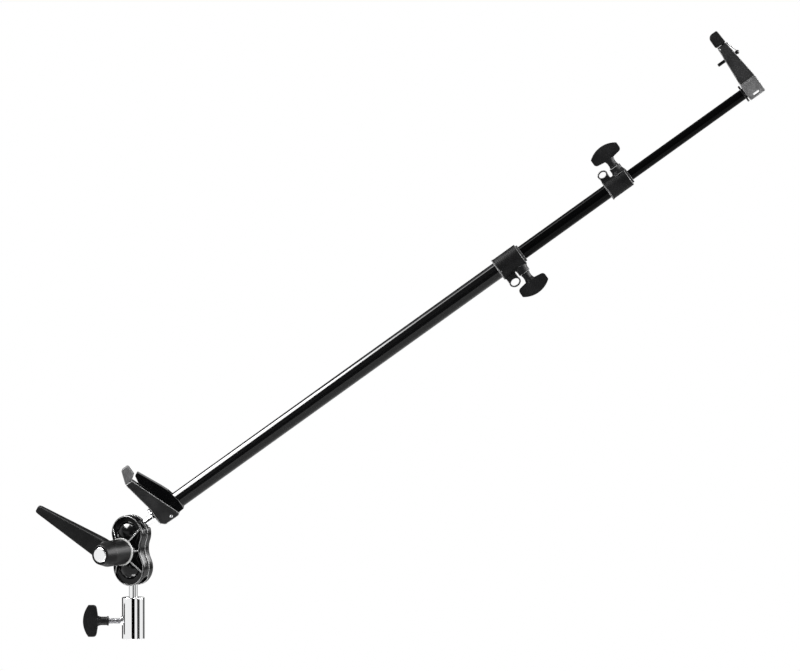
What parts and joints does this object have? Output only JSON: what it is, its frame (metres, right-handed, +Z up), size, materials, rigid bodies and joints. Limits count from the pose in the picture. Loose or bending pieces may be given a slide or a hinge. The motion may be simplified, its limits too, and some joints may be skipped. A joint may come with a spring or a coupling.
{
  "type": "reflector holder arm",
  "caption": "Telescopic reflector holder arm: spigot socket, lever-locked double ball head, three tubes with T-handle collars and a sprung clip at each end.",
  "frame": {"origin": "centre of the stand socket's bottom face, where the stand's spigot enters", "axes": "+Z up along the socket, +X towards the far end of the arm, +Y away from the side with the clamp lever"},
  "size_m": [1.0211, 0.1012, 0.8529],
  "materials": {
    "chrome": "bright chrome plate",
    "steel": "plain steel",
    "brass": "machined brass",
    "gloss_casting": "die cast, gloss black enamel",
    "gloss_moulding": "gloss black moulding",
    "black_moulding": "satin black moulding",
    "black_casting": "cast, satin black",
    "tube_black": "drawn tube, polished black anodising",
    "dark_casting": "cast, dark grey powder coat",
    "grey_pad": "mid grey rubber",
    "grey_casting": "cast, mid grey satin",
    "white_nylon": "white nylon"
  },
  "bodies": {
    "stand": {"stand_socket": "chrome", "lower_stem": "chrome"},
    "socket_screw": {"socket_stud": "chrome"},
    "socket_handle": {"socket_knob": "black_moulding"},
    "lower_swivel_ball": {"lower_ball": "steel"},
    "head": {"head_shell_front": "gloss_casting", "head_shell_rear": "gloss_casting", "clamp_bolt": "steel", "head_spring": "steel", "thrust_washer": "white_nylon"},
    "lever": {"clamp_lever": "black_casting", "lever_insert": "brass", "lever_cap": "chrome"},
    "upper_swivel_ball": {"upper_ball": "steel"},
    "arm": {"upper_stem": "chrome", "lower_clip_body": "dark_casting", "lower_clip_tip": "grey_pad", "lower_clip_pin": "steel", "lower_clip_spring": "steel", "lower_tube": "tube_black", "lower_collar": "black_casting", "lower_brake_pad": "brass"},
    "lower_jaw": {"lower_clip_jaw": "gloss_moulding"},
    "lower_screw": {"lower_stud": "chrome"},
    "lower_handle": {"lower_knob": "black_moulding"},
    "lower_sleeve": {"lower_bush": "black_moulding"},
    "middle": {"middle_tube": "tube_black", "upper_collar": "black_casting", "upper_brake_pad": "brass"},
    "upper_screw": {"upper_stud": "chrome"},
    "upper_handle": {"upper_knob": "black_moulding"},
    "upper_sleeve": {"upper_bush": "black_moulding"},
    "upper": {"upper_tube": "tube_black", "end_flange": "black_moulding", "end_block": "grey_casting", "end_block_screw": "steel", "upper_clip_body": "dark_casting", "upper_clip_tip": "black_moulding", "upper_clip_pin": "steel"},
    "upper_flap": {"upper_clip_flap": "gloss_moulding"},
    "plunger": {"upper_clip_plunger": "black_moulding"},
    "leaf": {"leaf_spring": "chrome"}
  },
  "joints": [
    {"name": "socket_screw_travel", "type": "slide", "parent": "stand", "child": "socket_screw", "axis": [-1, 0, 0], "range_m": [-0.012, 0.006]},
    {"name": "socket_handle_turn", "type": "hinge", "parent": "socket_screw", "child": "socket_handle", "pos_m": [-0.05, 0, 0.0257], "axis": [-1, 0, 0], "range_deg": [-3460, 1732]},
    {"name": "lower_ball_swivel", "type": "hinge", "parent": "stand", "child": "lower_swivel_ball", "pos_m": [0, 0, 0.1015], "axis": [0, 0, 1], "continuous": true},
    {"name": "lower_ball_tilt", "type": "hinge", "parent": "lower_swivel_ball", "child": "head", "pos_m": [0, 0, 0.1015], "axis": [-0.5292, -0.848, -0.0277], "range_deg": [-45, 45]},
    {"name": "lever_turn", "type": "hinge", "parent": "head", "child": "lever", "pos_m": [-0.00125, 0, 0.12527], "axis": [-0.5292, -0.848, -0.0277], "range_deg": [0, 200]},
    {"name": "upper_ball_tilt", "type": "hinge", "parent": "head", "child": "upper_swivel_ball", "pos_m": [-0.00249, 0, 0.14904], "axis": [-0.5292, -0.848, -0.0277], "range_deg": [-5, 75]},
    {"name": "upper_ball_swivel", "type": "hinge", "parent": "upper_swivel_ball", "child": "arm", "pos_m": [-0.00249, 0, 0.14904], "axis": [0.8121, 0, 0.5835], "continuous": true},
    {"name": "lower_jaw_open", "type": "hinge", "parent": "arm", "child": "lower_jaw", "pos_m": [0.05359, 0, 0.17381], "axis": [0, 1, 0], "range_deg": [0, 12], "stiffness_Nm_per_rad": 0.9, "springref_deg": -14.32},
    {"name": "lower_screw_travel", "type": "slide", "parent": "arm", "child": "lower_screw", "axis": [0.5835, 0, -0.8121], "range_m": [0, 0.005]},
    {"name": "lower_handle_turn", "type": "hinge", "parent": "lower_screw", "child": "lower_handle", "pos_m": [0.56307, 0, 0.49386], "axis": [0.5835, 0, -0.8121], "range_deg": [-2, 1444]},
    {"name": "middle_twist", "type": "hinge", "parent": "arm", "child": "lower_sleeve", "pos_m": [0.53348, 0, 0.53417], "axis": [0.8121, 0, 0.5835], "continuous": true},
    {"name": "middle_slide", "type": "slide", "parent": "lower_sleeve", "child": "middle", "axis": [0.8121, 0, 0.5835], "range_m": [-0.145, 0.318]},
    {"name": "upper_screw_travel", "type": "slide", "parent": "middle", "child": "upper_screw", "axis": [-0.5835, 0, 0.8121], "range_m": [0, 0.005]},
    {"name": "upper_handle_turn", "type": "hinge", "parent": "upper_screw", "child": "upper_handle", "pos_m": [0.65779, 0, 0.68507], "axis": [-0.5835, 0, 0.8121], "range_deg": [-2, 1444]},
    {"name": "upper_twist", "type": "hinge", "parent": "middle", "child": "upper_sleeve", "pos_m": [0.68778, 0, 0.64504], "axis": [0.8121, 0, 0.5835], "continuous": true},
    {"name": "upper_slide", "type": "slide", "parent": "upper_sleeve", "child": "upper", "axis": [0.8121, 0, 0.5835], "range_m": [-0.175, 0.286]},
    {"name": "upper_flap_open", "type": "hinge", "parent": "upper", "child": "upper_flap", "pos_m": [0.82076, 0, 0.8263], "axis": [0, 1, 0], "range_deg": [0, 25], "stiffness_Nm_per_rad": 0.06, "springref_deg": -20.05},
    {"name": "plunger_pull", "type": "slide", "parent": "upper", "child": "plunger", "axis": [0.8121, 0, 0.5835], "range_m": [0, 0.008], "stiffness_N_per_m": 500, "springref_m": -0.003},
    {"name": "leaf_flex", "type": "hinge", "parent": "upper", "child": "leaf", "pos_m": [0.8297, 0, 0.83655], "axis": [0, -1, 0], "range_deg": [0, 26]}
  ],
  "couplings": [
    {"joint": "socket_handle_turn", "follows": "socket_screw_travel", "rad_per_m": 5026.5},
    {"joint": "lower_handle_turn", "follows": "lower_screw_travel", "rad_per_m": 5026.5},
    {"joint": "upper_handle_turn", "follows": "upper_screw_travel", "rad_per_m": 5026.5},
    {"joint": "leaf_flex", "follows": "plunger_pull", "rad_per_m": 56}
  ]
}
